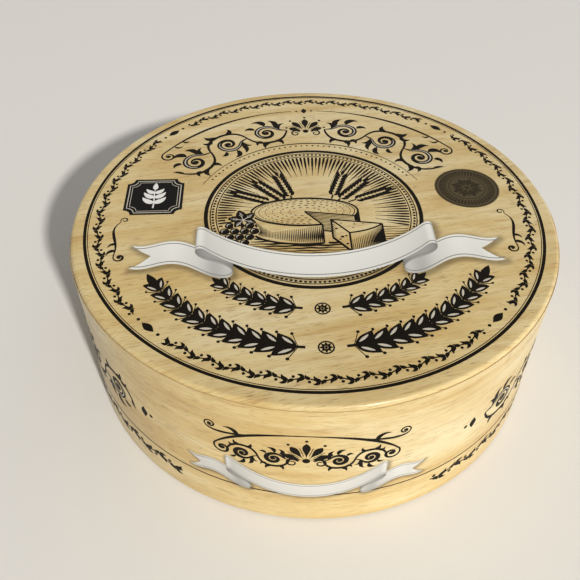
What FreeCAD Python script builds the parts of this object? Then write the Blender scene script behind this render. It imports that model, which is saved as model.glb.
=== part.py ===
import FreeCAD, Part
import os

# Round gift box of rigid paperboard: a shallow base, and a lid of full depth that slides down over it.
# Millimetres. The origin is the middle of the underside, +Z is up, and the front is towards -Y.

# Overall size
lid_diameter = 165.0
box_height = 60.4

# Thickness of each board and paper
lid_wall_board = 1.8
lid_top_board = 2.0
base_wall_board = 1.8
base_floor_board = 2.0
label_paper = 0.15
wrap_paper = 0.15
base_paper = 0.15
bottom_paper = 0.15

# Glue between a curved board and its paper, and the joint round a board disc
glue_film = 0.05
disc_joint = 0.1

# Softened board edges: the lid's rim, and every other edge that paper is folded over
rim_rounding = 1.1
edge_rounding = 0.2

# Where the papers of the lid end
wrap_edge_below_rim = 0.15
label_margin_under_wrap = 8.0
wrap_step_length = 0.8
wrap_turn_in = 12.0

# Where the papers of the base end
base_turn_in = 12.0
base_turn_under = 8.0
bottom_label_overlap = 5.0
bottom_step_length = 0.6

# How the lid sits on the base
lid_to_base_clearance = 0.5
lid_edge_above_table = 0.6

# Radii of the lid, from its outer paper inwards
wrap_outer = lid_diameter / 2
label_outer = wrap_outer - wrap_paper - glue_film
lid_wall_outer = label_outer - label_paper - glue_film
lid_wall_inner = lid_wall_outer - lid_wall_board
lid_turn_in_outer = lid_wall_inner - glue_film
lid_turn_in_inner = lid_turn_in_outer - wrap_paper

# Radii of the base, which stands inside the lid's turned-in paper
base_paper_outer = lid_turn_in_inner - lid_to_base_clearance
base_wall_outer = base_paper_outer - base_paper - glue_film
base_wall_inner = base_wall_outer - base_wall_board
base_turn_in_outer = base_wall_inner - glue_film
base_turn_in_inner = base_turn_in_outer - base_paper
turn_under_inner = base_wall_outer - base_turn_under
bottom_label_outer = turn_under_inner + bottom_label_overlap

# Heights of the lid, from its top down
lid_board_top = box_height - label_paper
lid_board_under = lid_board_top - lid_top_board
wrap_top_edge = lid_board_top - rim_rounding - wrap_edge_below_rim
label_edge = wrap_top_edge - label_margin_under_wrap
lid_wall_foot = lid_edge_above_table + wrap_paper

# Heights of the base, whose rim carries the lid's top board
turn_under_bottom = bottom_paper
base_board_foot = turn_under_bottom + base_paper
base_rim = lid_board_under
base_wall_top = base_rim - base_paper


def rounded_corner(before, corner, after, rounding):
    """Start, middle and end of the arc that rounds a corner and touches both of its sides."""
    back = (before - corner).normalize()
    ahead = (after - corner).normalize()
    inwards = (back + ahead).normalize()
    sine = inwards.cross(back).Length
    tangent_length = rounding * inwards.dot(back) / sine
    middle = corner + inwards * (rounding / sine - rounding)
    return corner + back * tangent_length, middle, corner + ahead * tangent_length


def turned(corners):
    """Solid turned about +Z from a closed outline of (radius, height, rounding) corners."""
    points = [FreeCAD.Vector(radius, 0, height) for radius, height, rounding in corners]
    bends = []
    for index, point in enumerate(points):
        rounding = corners[index][2]
        if rounding > 0:
            after = points[(index + 1) % len(points)]
            bends.append(rounded_corner(points[index - 1], point, after, rounding))
        else:
            bends.append((point, point, point))
    edges = []
    for index, (start, middle, end) in enumerate(bends):
        edges.append(Part.LineSegment(bends[index - 1][2], start).toShape())
        if corners[index][2] > 0:
            edges.append(Part.Arc(start, middle, end).toShape())
    face = Part.Face(Part.Wire(edges))
    return face.revolve(FreeCAD.Vector(0, 0, 0), FreeCAD.Vector(0, 0, 1), 360)


def disc(radius, bottom, thickness):
    """Flat round board."""
    return Part.makeCylinder(radius, thickness, FreeCAD.Vector(0, 0, bottom))


def make_lid_wall():
    """Board tube of the lid, with the softly rounded rim at its top."""
    return turned([
        (lid_wall_inner, lid_wall_foot, edge_rounding),
        (lid_wall_outer, lid_wall_foot, edge_rounding),
        (lid_wall_outer, lid_board_top, rim_rounding),
        (lid_wall_inner, lid_board_top, 0),
    ])


def make_lid_top_board():
    """Board disc set into the top of the lid's tube, flush with its rim."""
    return disc(lid_wall_inner - disc_joint, lid_board_under, lid_top_board)


def make_lid_top_label():
    """Printed paper over the whole top, turned down over the rim onto the wall."""
    label_inner = label_outer - label_paper
    return turned([
        (0, lid_board_top, 0),
        (label_inner, lid_board_top, rim_rounding),
        (label_inner, label_edge, 0),
        (label_outer, label_edge, 0),
        (label_outer, box_height, rim_rounding + label_paper),
        (0, box_height, 0),
    ])


def make_lid_side_wrap():
    """Printed paper sleeve round the wall, over the label's margin, and turned in at the foot."""
    upper_inner = wrap_outer - wrap_paper
    lower_inner = lid_wall_outer + glue_film
    lower_outer = lower_inner + wrap_paper
    turn_in_end = lid_edge_above_table + wrap_turn_in
    step_foot = label_edge - wrap_step_length
    return turned([
        (upper_inner, wrap_top_edge, 0),
        (upper_inner, label_edge, 0),
        (lower_inner, step_foot, 0),
        (lower_inner, lid_wall_foot, edge_rounding),
        (lid_turn_in_outer, lid_wall_foot, edge_rounding),
        (lid_turn_in_outer, turn_in_end, 0),
        (lid_turn_in_inner, turn_in_end, 0),
        (lid_turn_in_inner, lid_edge_above_table, edge_rounding + wrap_paper),
        (lower_outer, lid_edge_above_table, edge_rounding + wrap_paper),
        (lower_outer, step_foot, 0),
        (wrap_outer, label_edge, 0),
        (wrap_outer, wrap_top_edge, 0),
    ])


def make_base_wall():
    """Board tube of the base, tall enough that the lid's top board rests on its rim."""
    return turned([
        (base_wall_inner, base_board_foot, 0),
        (base_wall_outer, base_board_foot, edge_rounding),
        (base_wall_outer, base_wall_top, edge_rounding),
        (base_wall_inner, base_wall_top, edge_rounding),
    ])


def make_base_floor_board():
    """Board disc set into the foot of the base's tube."""
    return disc(base_wall_inner - disc_joint, base_board_foot, base_floor_board)


def make_base_wrap():
    """Plain paper round the base, turned in over the rim and turned under at the foot."""
    outer_face = base_paper_outer - base_paper
    turn_in_end = base_rim - base_turn_in
    return turned([
        (turn_under_inner, turn_under_bottom, 0),
        (base_paper_outer, turn_under_bottom, edge_rounding + base_paper),
        (base_paper_outer, base_rim, edge_rounding + base_paper),
        (base_turn_in_inner, base_rim, edge_rounding + base_paper),
        (base_turn_in_inner, turn_in_end, 0),
        (base_turn_in_outer, turn_in_end, 0),
        (base_turn_in_outer, base_wall_top, edge_rounding),
        (outer_face, base_wall_top, edge_rounding),
        (outer_face, base_board_foot, edge_rounding),
        (turn_under_inner, base_board_foot, 0),
    ])


def make_base_bottom_label():
    """Plain paper disc glued under the floor, stepping down over the turned-under paper."""
    step_inner = turn_under_inner - bottom_step_length
    centre_bottom = base_board_foot - bottom_paper
    return turned([
        (0, centre_bottom, 0),
        (step_inner, centre_bottom, 0),
        (turn_under_inner, 0, 0),
        (bottom_label_outer, 0, 0),
        (bottom_label_outer, bottom_paper, 0),
        (turn_under_inner, bottom_paper, 0),
        (step_inner, base_board_foot, 0),
        (0, base_board_foot, 0),
    ])


PIECES = {
    "lid_wall": make_lid_wall,
    "lid_top_board": make_lid_top_board,
    "lid_top_label": make_lid_top_label,
    "lid_side_wrap": make_lid_side_wrap,
    "base_wall": make_base_wall,
    "base_floor_board": make_base_floor_board,
    "base_wrap": make_base_wrap,
    "base_bottom_label": make_base_bottom_label,
}

os.makedirs("parts", exist_ok=True)
for name, make in PIECES.items():
    shape = make()
    shape.exportStep(f"parts/{name}.step")
    print(name, shape.isValid(), len(shape.Solids), round(shape.Volume, 1))
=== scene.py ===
import math

import bpy
import numpy as np
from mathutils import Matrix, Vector


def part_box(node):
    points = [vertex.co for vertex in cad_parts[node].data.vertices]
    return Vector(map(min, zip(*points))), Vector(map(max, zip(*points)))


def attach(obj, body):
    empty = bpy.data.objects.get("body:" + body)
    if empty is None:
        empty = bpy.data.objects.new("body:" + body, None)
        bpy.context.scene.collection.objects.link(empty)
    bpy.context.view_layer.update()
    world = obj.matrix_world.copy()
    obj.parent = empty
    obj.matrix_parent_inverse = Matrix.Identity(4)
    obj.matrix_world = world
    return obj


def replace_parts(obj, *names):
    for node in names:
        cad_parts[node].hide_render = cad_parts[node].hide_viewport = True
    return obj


# Round gift box of rigid paperboard, covered with paper printed to look like pale wood.
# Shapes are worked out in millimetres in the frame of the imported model, and put into meshes in metres.

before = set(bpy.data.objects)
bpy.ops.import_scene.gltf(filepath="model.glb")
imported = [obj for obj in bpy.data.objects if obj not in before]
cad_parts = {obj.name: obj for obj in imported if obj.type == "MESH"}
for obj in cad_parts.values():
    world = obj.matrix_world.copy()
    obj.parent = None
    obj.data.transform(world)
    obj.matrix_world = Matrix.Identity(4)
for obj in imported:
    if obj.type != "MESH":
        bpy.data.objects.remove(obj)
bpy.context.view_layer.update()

MM = 0.001
TAU = 2 * np.pi
UV_UNIT = 100.0


def extent(node):
    """Outer radius, lowest and highest level of a round node, in millimetres."""
    low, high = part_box(node)
    return (high.x - low.x) / 2 / MM, low.z / MM, high.z / MM


# Radii and levels, read from the frame
wrap_outer, lid_foot, wrap_top = extent("lid_side_wrap")
label_outer, label_edge, label_top = extent("lid_top_label")
lid_board_radius, _, lid_board_top = extent("lid_top_board")
base_outer, turn_under_bottom, base_rim = extent("base_wrap")
bottom_label_outer, bottom_label_under, _ = extent("base_bottom_label")

paper = label_top - lid_board_top
glue = wrap_outer - label_outer - paper
disc_joint = 0.1
rim_rounding = 1.1 + paper
fold_rounding = 0.2 + paper
step_length = 0.8
bottom_step = 0.6
lid_turn_in = 12.0
base_turn_in = 12.0
base_turn_under = 8.0
lower_wrap_outer = wrap_outer - paper - glue
lid_turn_in_inner = lid_board_radius + disc_joint - glue - paper
base_turn_in_inner = extent("base_floor_board")[0] + disc_joint - glue - paper
turn_under_inner = extent("base_wall")[0] - base_turn_under

# Making of the papers that shows: the pleats of the top label's margin, and the lap of the side paper
pleat_count = 150
pleat_height = 0.09
tuck_height = 0.06
edge_waver = 0.30
edge_lift = 0.06
lap_angle = 62.0
lap_width = 10.0
lap_slope = 3.0

# Placing of the print
print_turn = 4.5
print_offset = (0.0, 0.6)
front = -90.0
grain_angle = 15.0
sheet_wave_height = 0.13
side_ribbon_scale = 0.62
# Painted shade: the side's ribbon print is made darker than the top's, because the wall gets more light than
# the top.
side_ribbon_painted_shade_scale = 0.72

# Heights of the print over the paper, with a hair between strips that may cross
ink_sink = 0.02
ink_height = 0.03
ink_lift = 0.0012
ink_lifts = 12
glint_height = 0.055
shadow_height = 0.012
ribbon_height = 0.07
ribbon_step = 0.012
least_width = 0.05


# Materials

def linear(red, green, blue):
    """Linear colour of a display colour given from 0 to 255."""
    c = np.array([red, green, blue]) / 255
    return (*np.where(c <= 0.04045, c / 12.92, ((c + 0.055) / 1.055) ** 2.4).tolist(), 1.0)


class Nodes:
    """Node tree of a material or a world."""

    def __init__(self, owner):
        owner.use_nodes = True
        self.tree = owner.node_tree

    def put(self, value, socket):
        """Sets an input to a value, or joins another node's output to it."""
        if isinstance(value, bpy.types.NodeSocket):
            self.tree.links.new(value, socket)
        else:
            socket.default_value = value

    def add(self, kind, *values, **settings):
        """Outputs of a new node, from values for its first inputs. Settings with a capital are inputs too."""
        node = self.tree.nodes.new("ShaderNode" + kind)
        for key, value in settings.items():
            if key[0].isupper():
                self.put(value, node.inputs[key])
            else:
                setattr(node, key, value)
        for value, socket in zip(values, node.inputs):
            self.put(value, socket)
        return node.outputs

    def ramp(self, value, *stops):
        """Level or colour looked up between stops, each a place and a grey level or a display colour."""
        result = self.add("ValToRGB", value)["Color"]
        elements = result.node.color_ramp.elements
        while len(elements) < len(stops):
            elements.new(0.5)
        for element, (place, tone) in zip(elements, stops):
            element.position = place
            element.color = linear(*tone) if isinstance(tone, tuple) else (tone, tone, tone, 1)
        return result

    def mix(self, factor, first, second, kind="MIX"):
        """Mix of two colours, each a colour or another node's output; so is the factor."""
        result = self.add("Mix", data_type="RGBA", blend_type=kind)[2]
        for value, place in ((factor, 0), (first, 6), (second, 7)):
            self.put(value, result.node.inputs[place])
        return result

    def total(self, first, weight, second):
        """First times a weight, and the second added."""
        return self.add("Math", first, weight, second, operation="MULTIPLY_ADD")[0]


class Surface(Nodes):
    """Material with one Principled shader. Its coat is a thin satin varnish."""

    def __init__(self, name, roughness, specular, coat=0.0):
        self.material = bpy.data.materials.new(name)
        super().__init__(self.material)
        self.shader = next(node for node in self.tree.nodes if node.type == "BSDF_PRINCIPLED").inputs
        self.shader["Roughness"].default_value = roughness
        self.shader["Specular IOR Level"].default_value = specular
        if coat:
            self.shader["Coat Weight"].default_value = coat
            self.shader["Coat Roughness"].default_value = 0.22

    def noise(self, scale, detail=3.0, roughness=0.5, distortion=0.0, place=None):
        """Soft noise, in the object's own coordinates or at another place."""
        return self.add("TexNoise", Vector=place or self.add("TexCoord")["Object"], Scale=scale,
                        Detail=detail, Roughness=roughness, Distortion=distortion)["Fac"]

    def grain(self, along, across, detail=3.0, roughness=0.5, distortion=0.0, shift=0.0):
        """Noise drawn out along the grain: along and across are its sizes in mm on the flat paper."""
        place = self.add("Mapping", self.add("UVMap", uv_map="paper")["UV"], Location=(shift, shift, 0),
                         Scale=(UV_UNIT / along, UV_UNIT / across, 1))["Vector"]
        return self.noise(1.0, detail, roughness, distortion, place)

    def shade(self):
        """Tone that the print gives each point; on the side's ribbon it also holds a painted shade."""
        return self.add("Attribute", attribute_name="shade")["Fac"]

    def tint(self, colour, value, low, high, tone):
        """Colour with a tone over it, as strong as a value looked up between two stops."""
        return self.mix(self.ramp(value, low, high), colour, linear(*tone))

    def colour(self, value):
        """Sets the colour, or joins an output to it."""
        self.put(value, self.shader["Base Color"])

    def bump(self, height, distance):
        """Bump with a distance in mm, over those that were put before it."""
        result = self.add("Bump", Height=height, Distance=distance * MM)[0]
        normal = self.shader["Normal"]
        if normal.is_linked:
            self.put(normal.links[0].from_socket, result.node.inputs["Normal"])
        self.put(result, normal)

    def glued(self):
        """Slow unevenness of glued paper, in the same place on the paper and on the ink over it."""
        self.bump(self.noise(38.0, 1.5, 0.4), sheet_wave_height)


def make_wood_print():
    """Paper printed like pale wood: clouds, bands and streaks added up, with smudges, fibres and short
    dark pores along the grain. The attribute shade darkens it, as the print does beside a ribbon."""
    wood = Surface("wood_print_paper", 0.48, 0.3, 0.30)
    clouds = wood.grain(52, 24, 3.0, 0.6, 0.5, 5.2)
    bands = wood.grain(190, 12, 3.0, 0.55, 0.6, 3.1)
    streaks = wood.grain(60, 3.2, 3.0, 0.6, 0.4, 7.7)
    warmth = wood.grain(120, 90, 1.0, 0.5, 0.0, 4.4)
    smudges = wood.grain(14, 2.6, 2.0, 0.55, 0.4, 6.1)
    fibres = wood.grain(9.0, 0.46, 2.0, 0.6, 0.0, 1.3)
    pores = wood.grain(4.2, 0.36, 1.0, 0.5, 0.0, 5.9)
    places = wood.grain(34, 15, 2.0, 0.5, 0.0, 2.2)
    pale = wood.grain(16, 1.1, 2.0, 0.5, 0.0, 9.1)
    value = wood.total(clouds, 0.46, wood.total(bands, 0.44, wood.total(streaks, 0.22, 0.0)))
    colour = wood.ramp(value, (0.38, (184, 150, 90)), (0.47, (209, 180, 119)),
                       (0.56, (221, 198, 143)), (0.68, (233, 217, 173)))
    warm = wood.ramp(warmth, (0.42, 0.0), (0.62, 0.6))
    colour = wood.mix(warm, colour, (1.0, 0.92, 0.72, 1.0), "MULTIPLY")
    colour = wood.tint(colour, smudges, (0.56, 0.0), (0.74, 0.50), (176, 136, 80))
    colour = wood.tint(colour, fibres, (0.36, 0.18), (0.60, 0.0), (168, 128, 68))
    colour = wood.tint(colour, wood.total(places, 0.22, pores), (0.745, 0.0), (0.79, 0.50), (134, 96, 50))
    colour = wood.tint(colour, pale, (0.56, 0.0), (0.72, 0.20), (240, 224, 180))
    wood.colour(wood.mix(wood.shade(), colour, linear(70, 52, 24)))
    wood.put(wood.ramp(streaks, (0.3, 0.37), (0.7, 0.46)), wood.shader["Roughness"])
    wood.glued()
    wood.bump(fibres, 0.007)
    return wood.material


def make_ink(name, *tone):
    """Printed ink: a little uneven in tone, on paper with the same slow waviness."""
    ink = Surface(name, 0.5, 0.05, 0.05)
    dark = linear(*tone)
    lighter = (*[min(1.0, c * 1.25 + 0.002) for c in dark[:3]], 1.0)
    ink.colour(ink.mix(ink.noise(2600.0, 2.0), dark, lighter))
    ink.glued()
    return ink.material


def make_ribbon_print():
    """Printed cloth: a tone between grey and cream, by the attribute shade."""
    cloth = Surface("ribbon_print", 0.45, 0.3, 0.30)
    cloth.colour(cloth.ramp(cloth.shade(), (0.0, (84, 84, 82)), (1.0, (247, 245, 237))))
    cloth.glued()
    return cloth.material


def make_paper_core():
    """Cut edge of the paper: fibrous and brown."""
    core = Surface("paper_core", 0.8, 0.2)
    core.colour(core.ramp(core.noise(4000.0), (0.3, (186, 156, 104)), (0.7, (212, 186, 134))))
    return core.material


def make_plain_paper():
    """Uncoated buff paper: cloudy, with fine fibres and a few flecks."""
    buff = Surface("plain_paper", 0.72, 0.35)
    fibres = buff.grain(1.6, 0.22, 3.0, 0.6, 1.2)
    flecks = buff.grain(1.1, 0.7, 1.0, 0.5, 0.6, 4.4)
    colour = buff.ramp(buff.grain(9, 9, 4.0, 0.6), (0.3, (216, 205, 182)), (0.7, (229, 220, 200)))
    colour = buff.tint(colour, fibres, (0.38, 0.16), (0.55, 0.0), (178, 162, 132))
    buff.colour(buff.tint(colour, flecks, (0.72, 0.0), (0.78, 0.5), (128, 104, 72)))
    buff.bump(fibres, 0.03)
    return buff.material


def make_grey_board():
    """Bare grey board: matted fibres of several greys, with specks of old print."""
    board = Surface("grey_board", 0.85, 0.25)
    matted = board.noise(1 / (1.3 * MM), 6.0, distortion=0.8)
    dark_specks = board.noise(1 / (0.55 * MM), 1.0)
    pale_specks = board.noise(1 / (0.8 * MM), 1.0, distortion=0.5)
    colour = board.ramp(matted, (0.3, (150, 139, 122)), (0.5, (170, 160, 143)), (0.7, (187, 178, 162)))
    colour = board.tint(colour, dark_specks, (0.70, 0.0), (0.76, 0.6), (96, 92, 88))
    board.colour(board.tint(colour, pale_specks, (0.72, 0.0), (0.78, 0.5), (222, 216, 204)))
    board.bump(matted, 0.08)
    return board.material


wood_print = make_wood_print()
paper_core = make_paper_core()
plain_paper = make_plain_paper()
grey_board = make_grey_board()
black_ink = make_ink("black_ink", 15, 10, 5)
light_ink = make_ink("light_ink", 196, 188, 172)
white_ink = make_ink("white_ink", 228, 226, 220)
line_ink = make_ink("line_ink", 140, 138, 130)
seal_ink = make_ink("seal_ink", 80, 70, 50)
seal_dark_ink = make_ink("seal_dark_ink", 50, 42, 28)
plate_ink = make_ink("plate_ink", 14, 13, 13)
ribbon_print = make_ribbon_print()


# Form of the papers

def unit(angle):
    """Unit vectors at angles in degrees."""
    a = np.radians(np.asarray(angle, float))
    return np.stack([np.cos(a), np.sin(a)], axis=-1)


def turn(points, degrees):
    """Points turned about the origin."""
    c, s = unit(degrees)
    return points @ np.array([[c, s], [-s, c]])


def smooth(t):
    """Smooth step: 3 t squared less 2 t cubed, with t held between 0 and 1."""
    t = np.clip(t, 0, 1)
    return t * t * (3 - 2 * t)


pleats = np.random.default_rng(11)
pleat_places = (np.arange(pleat_count) + pleats.uniform(-0.32, 0.32, pleat_count)) * 360 / pleat_count
pleat_clusters = 0.55 + 0.45 * unit(pleat_places * 3 + 130)[:, 1] * unit(pleat_places * 7 + 20)[:, 1]
pleat_sizes = pleats.uniform(0.2, 1.0, pleat_count) ** 1.5 * pleat_clusters
pleat_sides = pleats.choice([-1.0, 1.0], pleat_count)
waver_turns = np.array([3, 5, 7, 11, 16, 23, 31, 40])
waver_starts = pleats.uniform(0, 360, len(waver_turns))


def pleating(angle):
    """Height of the pleats round the rim, 0 to 1: bells that are steep on one side and slow on the other."""
    gap = (angle[..., None] - pleat_places + 180) % 360 - 180
    reach = np.where(gap * pleat_sides > 0, 0.30, 0.85)
    return np.max(pleat_sizes * np.exp(-((gap / reach) ** 2)), axis=-1)


def wavering(angle):
    """Waver of a hand-laid paper edge, about -1 to 1: a sum of sines with falling heights."""
    return (unit(angle[..., None] * waver_turns + waver_starts)[..., 1] / np.sqrt(waver_turns)).sum(-1) / 1.1


def margin_rise(angle, level):
    """How far the pleats push the papers out, in mm: the pleating, faded in from the label's edge upwards."""
    return pleat_height * pleating(angle) * smooth((level - label_edge - 0.3) / 5.5)


def lap_rise(angle):
    """How far the lap lifts the side paper, in mm: one paper high from its edge, then a short slope."""
    past = np.radians((angle - lap_angle) % 360) * wrap_outer
    return paper * (1 - smooth((past - lap_width) / lap_slope))


def fold(radius, level, rounding, start, count=6):
    """Quarter circle in a section, clockwise from an angle, as (radius, level) points."""
    return np.array((radius, level)) + rounding * unit(np.linspace(start, start - 90, count))


def plumb(radius, *levels):
    """Points of a section straight below or above each other."""
    return [(radius, level) for level in levels]


def section(*runs):
    """Closed section of a paper: its visible face, then its hidden face one thickness behind it.

    Gives the points, the outward direction at each, and how far along the paper each lies.
    """
    path = np.concatenate(runs)
    along = np.gradient(path, axis=0)
    along /= np.linalg.norm(along, axis=1, keepdims=True)
    outwards = np.stack([-along[:, 1], along[:, 0]], axis=1)
    length = np.append(0, np.cumsum(np.linalg.norm(np.diff(path, axis=0), axis=1)))
    faces = ((path, path - paper * outwards), (outwards, outwards), (length, length))
    return [np.concatenate([visible, hidden[::-1]]) for visible, hidden in faces]


def swept(points, outwards, rise, angles):
    """Rings of points: a section of (radius, level) turned to each angle, moved outwards by the rise."""
    radius, level = points.T[..., None] + outwards.T[..., None] * (rise + 0 * angles)
    return np.concatenate([unit(angles) * radius[..., None], level[..., None]], axis=2)


def new_object(name, data):
    """New object in the scene."""
    thing = bpy.data.objects.new(name, data)
    bpy.context.scene.collection.objects.link(thing)
    return thing


def new_piece(name, points, faces, *materials):
    """Object from points in millimetres and faces, smooth but for edges over 35 degrees."""
    mesh = bpy.data.meshes.new(name)
    mesh.from_pydata((points * MM).tolist(), [], faces)
    mesh.shade_smooth()
    mesh.set_sharp_from_angle(angle=math.radians(35))
    for material in materials:
        mesh.materials.append(material)
    return new_object(name, mesh)


def map_flat(piece, flat):
    """UV map of a piece: the place on the flat sheet of each corner of its faces."""
    layer = piece.data.uv_layers.new(name="paper")
    layer.data.foreach_set("uv", (flat / UV_UNIT).astype(np.float32).ravel())


def turned_paper(name, rings, flat, material, body, looped=True):
    """Paper from a grid of rings, closed round and round, with the place of each point on the flat sheet.

    With looped the last ring joins the first. Without it the first and last ring lie on the axis, and
    each becomes one point with a fan of triangles. The rows between the two faces are cut edges.
    """
    count, around = rings.shape[:2]
    rows = count if looped else count - 1
    used = np.ones((count, around), bool)
    used[[0, -1], 1:] = looped
    here = (np.cumsum(used.ravel()) - 1).reshape(count, around)
    below, flat_below = np.roll(here, -1, axis=0), np.roll(flat, -1, axis=0)
    quads = np.stack([here, below, np.roll(below, -1, axis=1), np.roll(here, -1, axis=1)], axis=-1)[:rows]
    places = np.stack([flat[:, :-1], flat_below[:, :-1], flat_below[:, 1:], flat[:, 1:]], axis=2)[:rows]
    parts = [(slice(None), [0, 1, 2, 3])]
    if not looped:
        parts = [(slice(0, 1), [0, 1, 2]), (slice(1, -1), [0, 1, 2, 3]), (slice(-1, None), [0, 1, 3])]
    faces = sum([quads[part][..., corners].reshape(-1, len(corners)).tolist() for part, corners in parts], [])
    piece = new_piece(name, rings[used], faces, material, paper_core)
    cut_rows = np.isin(np.arange(rows), (count // 2 - 1, count - 1)).astype(np.int32)
    piece.data.polygons.foreach_set("material_index", np.repeat(cut_rows, around))
    map_flat(piece, np.concatenate([places[part][:, :, corners].reshape(-1, 2) for part, corners in parts]))
    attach(piece, body)
    return piece


def sleeve_flat(angles, radius, along):
    """Place of a sleeve's points on its flat sheet: the turn from its edge, and the way along its section."""
    across = np.radians(np.append(angles, angles[0] + 360) - angles[0]) * radius
    return np.stack(np.broadcast_arrays(across, along[:, None]), axis=2)


def around_from(start, count=1080):
    """Angles for one turn, with the last one just before the start, so that a step there is sharp."""
    return start + np.append(np.linspace(0, 360 - 360 / count, count - 1), 360 - 0.03)


def lid_label():
    """Printed paper over the lid's top: flat, round over the rim, and down the wall in small pleats.

    The section is a level line, a quarter circle and a plumb line. Below the rim each point moves out
    by margin_rise, and the margin's end is cut level.
    """
    start = label_outer - rim_rounding
    points, outwards, length = section(
        [(radius, label_top) for radius in (0, 15, 30, 45, 58, 68, 75, 79)],
        fold(start, label_top - rim_rounding, rim_rounding, 90, 11),
        plumb(label_outer, 59.0, 58.7, 58.3, 57.6, 56.4, 55, 53.5, 52.2, label_edge))
    angles = np.linspace(0, 360, 1081)
    over = smooth((length - start - 0.9) / 1.6)[:, None]
    rings = swept(points, outwards, margin_rise(angles[:-1], points[:, 1:]) * over, angles[:-1])
    flat = turn(length[:, None, None] * unit(angles), -grain_angle)
    return turned_paper("lid_label_sheet", rings, flat, wood_print, "lid", looped=False)


def lid_sleeve():
    """Printed paper round the lid's wall, over the label's margin, lapped, and turned in at the foot.

    The section runs down the wall with one smooth step, round the foot and up inside. Each point moves
    out by margin_rise and lap_rise, and the upper edge rises and falls by the waver.
    """
    step = np.linspace(0, 1, 7)
    step_radii = wrap_outer - (wrap_outer - lower_wrap_outer) * smooth(step)
    fold_level = lid_foot + fold_rounding
    points, outwards, length = section(
        plumb(wrap_outer, wrap_top, 58.65, 58.15, 57.3, 56.2, 54.7, 53.2, 51.7),
        np.stack([step_radii, label_edge - step_length * step], axis=1),
        plumb(lower_wrap_outer, 44, 30, 15, 3, 1.6),
        fold(lower_wrap_outer - fold_rounding, fold_level, fold_rounding, 0),
        fold(lid_turn_in_inner + fold_rounding, fold_level, fold_rounding, -90),
        plumb(lid_turn_in_inner, 1.8, 4, 7, 10, lid_foot + lid_turn_in))
    angles = around_from(lap_angle)
    level = points[:, 1:]
    outside = points[:, :1] > lower_wrap_outer - 2 * paper
    rise = (margin_rise(angles, level) + lap_rise(angles)) * smooth((level - lid_foot) / 2.0)
    rise += edge_lift * (1 + 0.5 * wavering(angles)) * smooth((level - wrap_top + 1.2) / 1.2)
    rings = swept(points, outwards, rise * outside, angles)
    rings[..., 2] += edge_waver * wavering(angles) * smooth((level - wrap_top + 2.5) / 2.5) * outside
    flat = sleeve_flat(angles, wrap_outer, wrap_top - length)
    return turned_paper("lid_wrap_sleeve", rings, flat, wood_print, "lid")


def base_sleeve():
    """Plain paper round the base: turned in over the rim, and turned under at the foot in small pleats.

    The section runs up inside, over the rim, down the wall, round the foot and in below the floor.
    """
    points, outwards, length = section(
        plumb(base_turn_in_inner, base_rim - base_turn_in, 49, 52, 55, 57),
        fold(base_turn_in_inner + fold_rounding, base_rim - fold_rounding, fold_rounding, 180),
        fold(base_outer - fold_rounding, base_rim - fold_rounding, fold_rounding, 90),
        plumb(base_outer, 56, 40, 20, 4, 1.6),
        fold(base_outer - fold_rounding, turn_under_bottom + fold_rounding, fold_rounding, 0),
        [(radius, turn_under_bottom) for radius in (78.5, 77.5, 76, 74, turn_under_inner)])
    angles = around_from(-lap_angle)
    inwards = base_outer - 0.6 - points[:, :1]
    tucks = tuck_height * pleating(angles) * (outwards[:, 1:] < -0.5) * smooth(inwards / 2.5)
    flat = sleeve_flat(angles, base_outer, length)
    rings = swept(points, outwards, tucks, angles)
    return turned_paper("base_wrap_sleeve", rings, flat, plain_paper, "base")


def base_label():
    """Plain paper disc under the floor, which steps down over the turned-under paper round its edge."""
    step = np.linspace(0, 1, 7)
    sheet = section(
        [(radius, bottom_label_under) for radius in (bottom_label_outer, 75, 73.5, 72.2)],
        np.stack([turn_under_inner - bottom_step * step, bottom_label_under + paper * smooth(step)], axis=1),
        [(radius, bottom_label_under + paper) for radius in (66, 55, 40, 20, 0)])
    points, outwards, _ = [np.roll(part, len(part) // 2, axis=0) for part in sheet]
    angles = np.linspace(0, 360, 721)
    rings = swept(points, outwards, 0 * points[:, :1], angles[:-1])
    flat = points[:, :1, None] * unit(angles)
    return turned_paper("base_label_sheet", rings, flat, plain_paper, "base", looped=False)


# Print: drawing tools. A strip is a row of stations, each with its right and its left point.

def arc(radius, start, end, centre=(0, 0), step=0.8):
    """Points of a circle's arc between two angles in degrees, about step mm apart."""
    count = max(5, int(abs(np.radians(end - start)) * radius / step) + 1)
    return radius * unit(np.linspace(start, end, count)) + centre


def curve(*knots, step=0.8):
    """Cubic curve, or a chain of them: each group of four points weighted by the Bernstein weights."""
    knots = np.asarray(knots, float)
    runs = []
    for first in range(0, len(knots) - 1, 3):
        p0, p1, p2, p3 = knots[first:first + 4]
        length = np.linalg.norm(p1 - p0) + np.linalg.norm(p2 - p1) + np.linalg.norm(p3 - p2)
        t = np.linspace(0, 1, max(5, int(length / step)))[1 if runs else 0:, None]
        runs.append((1 - t) ** 3 * p0 + 3 * t * (1 - t) ** 2 * p1 + 3 * t**2 * (1 - t) * p2 + t**3 * p3)
    return np.concatenate(runs)


def volute(centre, outer, inner, start, turns, power=0.8):
    """Spiral inwards: the radius falls from outer to inner as the angle turns, by a power of its share."""
    t = np.linspace(0, 1, int(20 * abs(turns)) + 6)
    return (outer + (inner - outer) * t**power)[:, None] * unit(start + 360 * turns * t) + centre


def swell(count, start, middle, end, peak=0.5):
    """Widths that rise from start to middle at the share peak and fall to end, as half cosines."""
    t = np.linspace(0, 1, count)
    rise = 0.5 - 0.5 * np.cos(np.pi * np.clip(t / peak, 0, 1))
    fall = 0.5 - 0.5 * np.cos(np.pi * np.clip((t - peak) / (1 - peak), 0, 1))
    return start + (middle - start) * rise + (end - middle) * fall


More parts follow.
